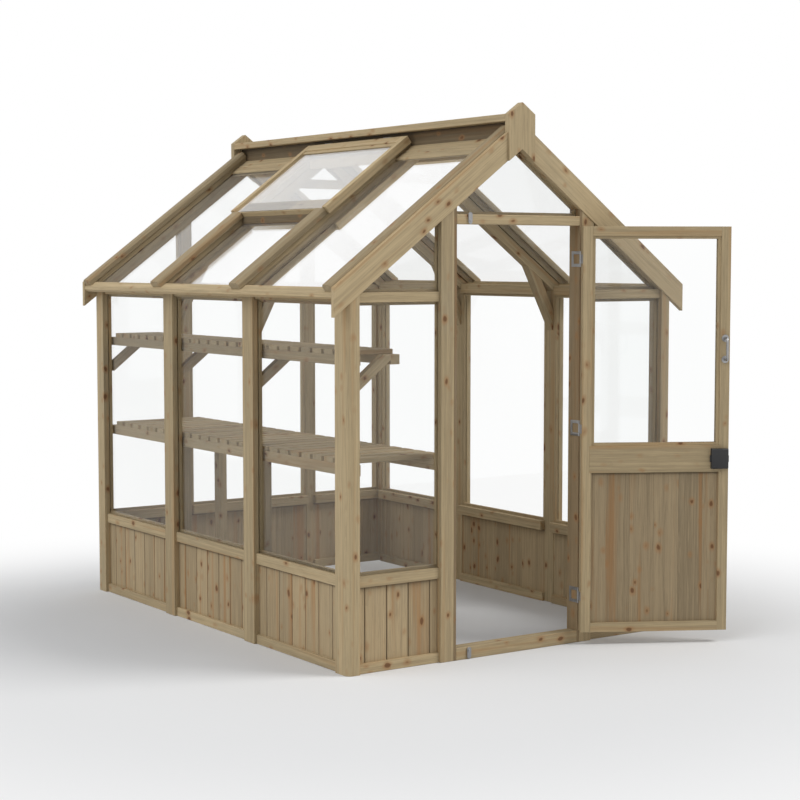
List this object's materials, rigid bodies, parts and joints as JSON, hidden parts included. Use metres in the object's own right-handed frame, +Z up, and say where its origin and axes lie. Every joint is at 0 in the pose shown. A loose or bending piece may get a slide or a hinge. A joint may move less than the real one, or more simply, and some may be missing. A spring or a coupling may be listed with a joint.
{
  "type": "greenhouse",
  "caption": "Wooden greenhouse with boarded base, glazed walls and pitched roof, hinged door, roof vent, slatted shelf and staging",
  "frame": {"origin": "under the middle of the doorway's threshold, on the ground", "axes": "+Z up, +Y from the front gable with the door to the rear gable, +X to the right seen from the front"},
  "size_m": [1.8322, 2.7119, 2.2788],
  "materials": {
    "timber": "planed softwood with a pale tan preservative, lengthwise grain and small knots",
    "board": "tongued boards in the same softwood, a little warmer, with orange streaks",
    "glass": "clear 4 mm toughened glass",
    "steel": "satin stainless steel",
    "black_iron": "black lacquer, half gloss"
  },
  "bodies": {
    "house": {"corner_posts": "timber", "side_posts": "timber", "door_posts": "timber", "rear_posts": "timber", "door_linings": "timber", "door_header": "timber", "threshold": "timber", "bottom_rails": "timber", "sill_rails": "timber", "gable_rails": "timber", "wall_plates": "timber", "side_boards": "board", "gable_boards": "board", "side_glass": "glass", "gable_glass": "glass", "gable_top_glass": "glass", "side_beads": "timber", "gable_beads": "timber", "ridge_beam": "timber", "ridge_cap": "timber", "finials": "timber", "bargeboards": "timber", "gable_rafters": "timber", "bay_rafters": "timber", "glazing_caps": "timber", "eaves_rails": "timber", "roof_top_rails": "timber", "vent_trimmer": "timber", "roof_glass": "glass", "knee_braces": "timber", "collars": "timber", "shelf_bearers": "timber", "shelf_slats": "timber", "shelf_brackets": "timber", "staging_bearers": "timber", "staging_slats": "timber", "staging_legs": "timber", "hinge_rings": "steel", "hinge_pins": "steel", "bolt_keep": "steel", "button_screws": "steel", "vent_hinge_plates": "steel", "stay_peg": "steel"},
    "door": {"door_stiles": "timber", "door_rails": "timber", "door_boards": "board", "door_glass": "glass", "door_beads": "timber", "door_handles": "steel", "hinge_leaves": "steel", "lock_case": "black_iron", "key_cover": "black_iron"},
    "lock_bolt": {"lock_bolt": "black_iron"},
    "header_button": {"header_button": "steel"},
    "threshold_button": {"threshold_button": "steel"},
    "vent": {"vent_frame": "timber", "vent_glass": "glass", "vent_hinge_leaves": "steel", "stay_screw": "steel"},
    "vent_stay": {"vent_stay": "steel"}
  },
  "joints": [
    {"name": "door_hinge", "type": "hinge", "parent": "house", "child": "door", "pos_m": [0.3195, -0.036, 0.92], "axis": [0, 0, 1], "range_deg": [-151.3, 13.7]},
    {"name": "lock_throw", "type": "slide", "parent": "door", "child": "lock_bolt", "axis": [0.8771, -0.4802, 0], "range_m": [0, 0.013]},
    {"name": "header_button_turn", "type": "hinge", "parent": "house", "child": "header_button", "pos_m": [-0.257, -0.0357, 1.79384], "axis": [0, 1, 0], "range_deg": [0, 180]},
    {"name": "threshold_button_turn", "type": "hinge", "parent": "house", "child": "threshold_button", "pos_m": [-0.257, -0.0357, 0.036], "axis": [0, 1, 0], "range_deg": [0, 180]},
    {"name": "vent_hinge", "type": "hinge", "parent": "house", "child": "vent", "pos_m": [-0.04912, 1.127, 2.18265], "axis": [0, 1, 0], "range_deg": [0, 40]},
    {"name": "stay_swing", "type": "hinge", "parent": "vent", "child": "vent_stay", "pos_m": [-0.41375, 0.977, 1.87033], "axis": [-0.5976, 0, 0.8018], "range_deg": [-80, 0]}
  ]
}
